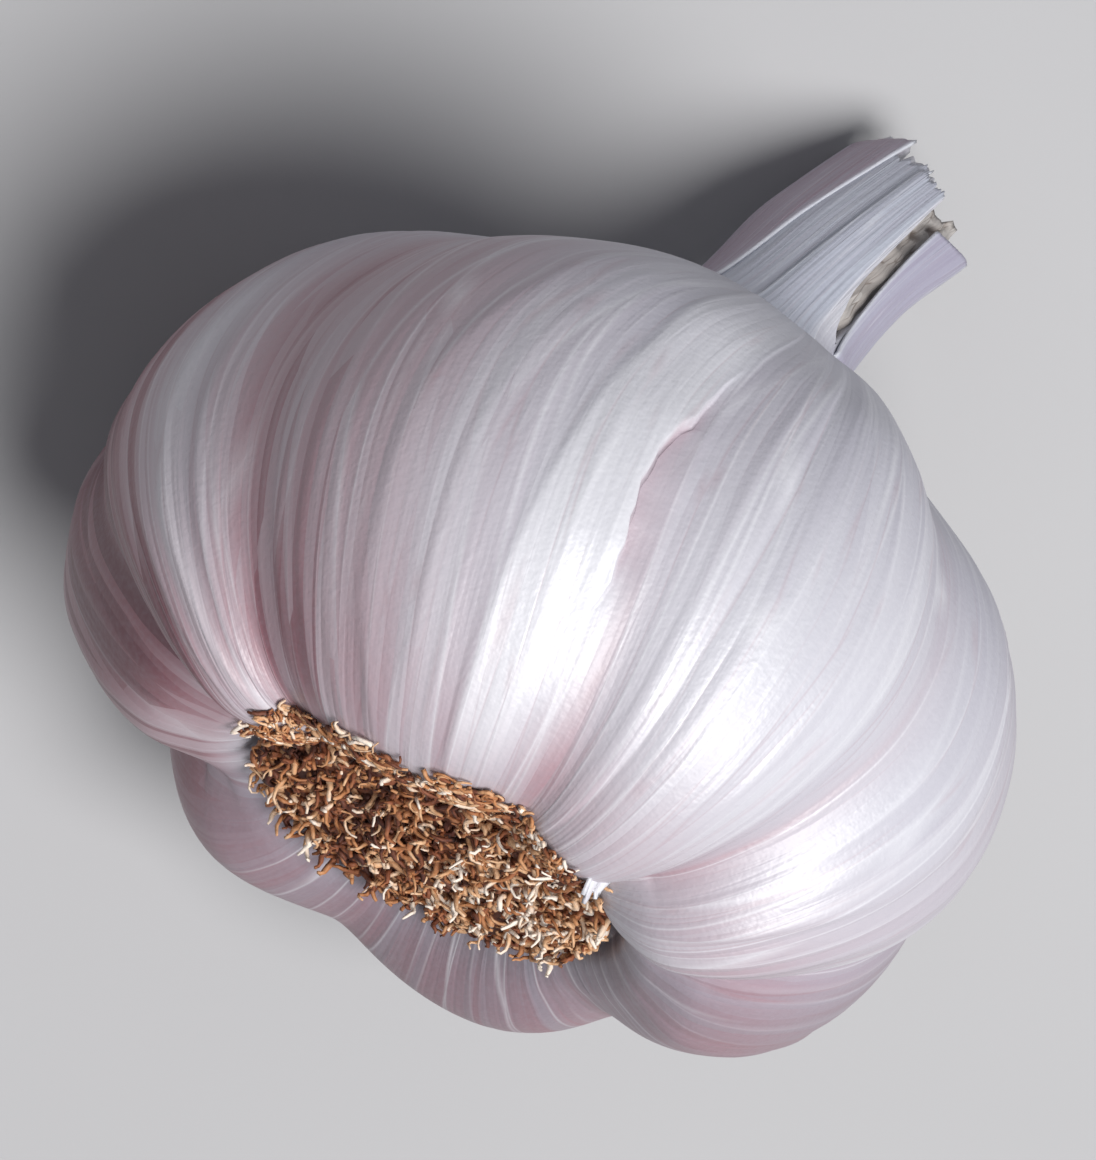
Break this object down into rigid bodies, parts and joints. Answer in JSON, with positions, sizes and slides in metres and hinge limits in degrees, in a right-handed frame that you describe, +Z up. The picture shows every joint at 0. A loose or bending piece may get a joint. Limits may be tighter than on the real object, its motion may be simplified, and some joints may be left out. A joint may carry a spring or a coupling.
{
  "type": "garlic bulb",
  "caption": "Whole garlic bulb in papery skin with plump cloves, a short dried neck and a root plate with dried roots, lying on its side.",
  "frame": {"origin": "middle of the bounding box on the surface that the bulb rests on", "axes": "+Z up from the surface, +X level towards the side where the neck's tip touches down, +Y level across the bulb"},
  "size_m": [0.0632, 0.061, 0.0566],
  "materials": {
    "papery_skin": "satin ivory skin with fine lengthwise veins and pink-mauve shade in the furrows",
    "dried_roots": "matt tan to red-brown dried roots",
    "dried_stalk": "matt grey-tan dried stem"
  },
  "bodies": {
    "root": {"wrapped_bulb": "papery_skin", "root_plate": "dried_roots", "stalk": "dried_stalk"}
  },
  "joints": []
}
